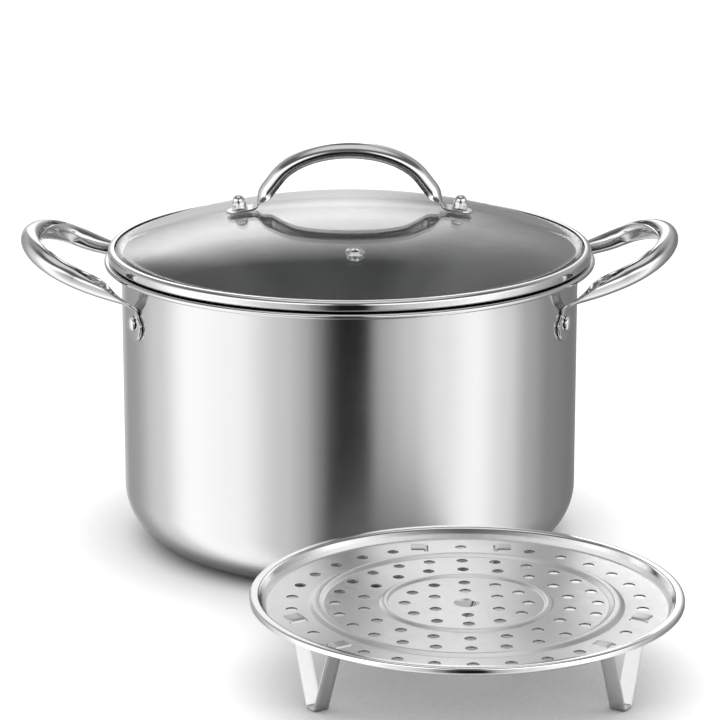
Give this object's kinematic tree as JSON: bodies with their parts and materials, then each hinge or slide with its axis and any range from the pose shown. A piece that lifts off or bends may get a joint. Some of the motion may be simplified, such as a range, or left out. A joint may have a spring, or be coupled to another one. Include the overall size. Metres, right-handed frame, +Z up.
{
  "type": "soup pot",
  "caption": "Stainless steel soup pot with riveted loop handles, a vented glass lid with an arched handle, and a footed steaming rack.",
  "frame": {"origin": "centre of the pot's flat base, on the surface that it stands on", "axes": "+Z up; the side handles point along +X and -X; the front, with the steam vent and the rack, faces -Y"},
  "size_m": [0.3446, 0.4574, 0.2114],
  "materials": {
    "brushed_steel": "satin, brushed round the wall",
    "polished_steel": "mirror polished",
    "rack_steel": "bright satin",
    "lid_glass": "clear tempered",
    "silicone": "translucent silicone"
  },
  "bodies": {
    "pot": {"pot_body": "brushed_steel", "handle_left": "polished_steel", "handle_right": "polished_steel", "rivet_left_front": "polished_steel", "rivet_left_rear": "polished_steel", "rivet_right_front": "polished_steel", "rivet_right_rear": "polished_steel"},
    "lid": {"lid_glass": "lid_glass", "lid_band": "polished_steel", "lid_handle": "polished_steel", "vent_eyelet": "polished_steel", "vent_washer": "polished_steel", "lid_screw_left": "polished_steel", "domed_nut_left": "polished_steel", "lid_washer_left": "polished_steel", "top_gasket_left": "silicone", "low_gasket_left": "silicone", "lid_screw_right": "polished_steel", "domed_nut_right": "polished_steel", "lid_washer_right": "polished_steel", "top_gasket_right": "silicone", "low_gasket_right": "silicone"},
    "rack": {"rack_plate": "rack_steel", "rack_leg_1": "rack_steel", "rack_leg_2": "rack_steel", "rack_leg_3": "rack_steel"}
  },
  "joints": [
    {"name": "lid_lift", "type": "slide", "parent": "pot", "child": "lid", "axis": [0, 0, 1], "range_m": [0, 0.2]},
    {"name": "rack_lift", "type": "slide", "parent": "pot", "child": "rack", "axis": [0, 0, 1], "range_m": [0, 0.15]}
  ]
}
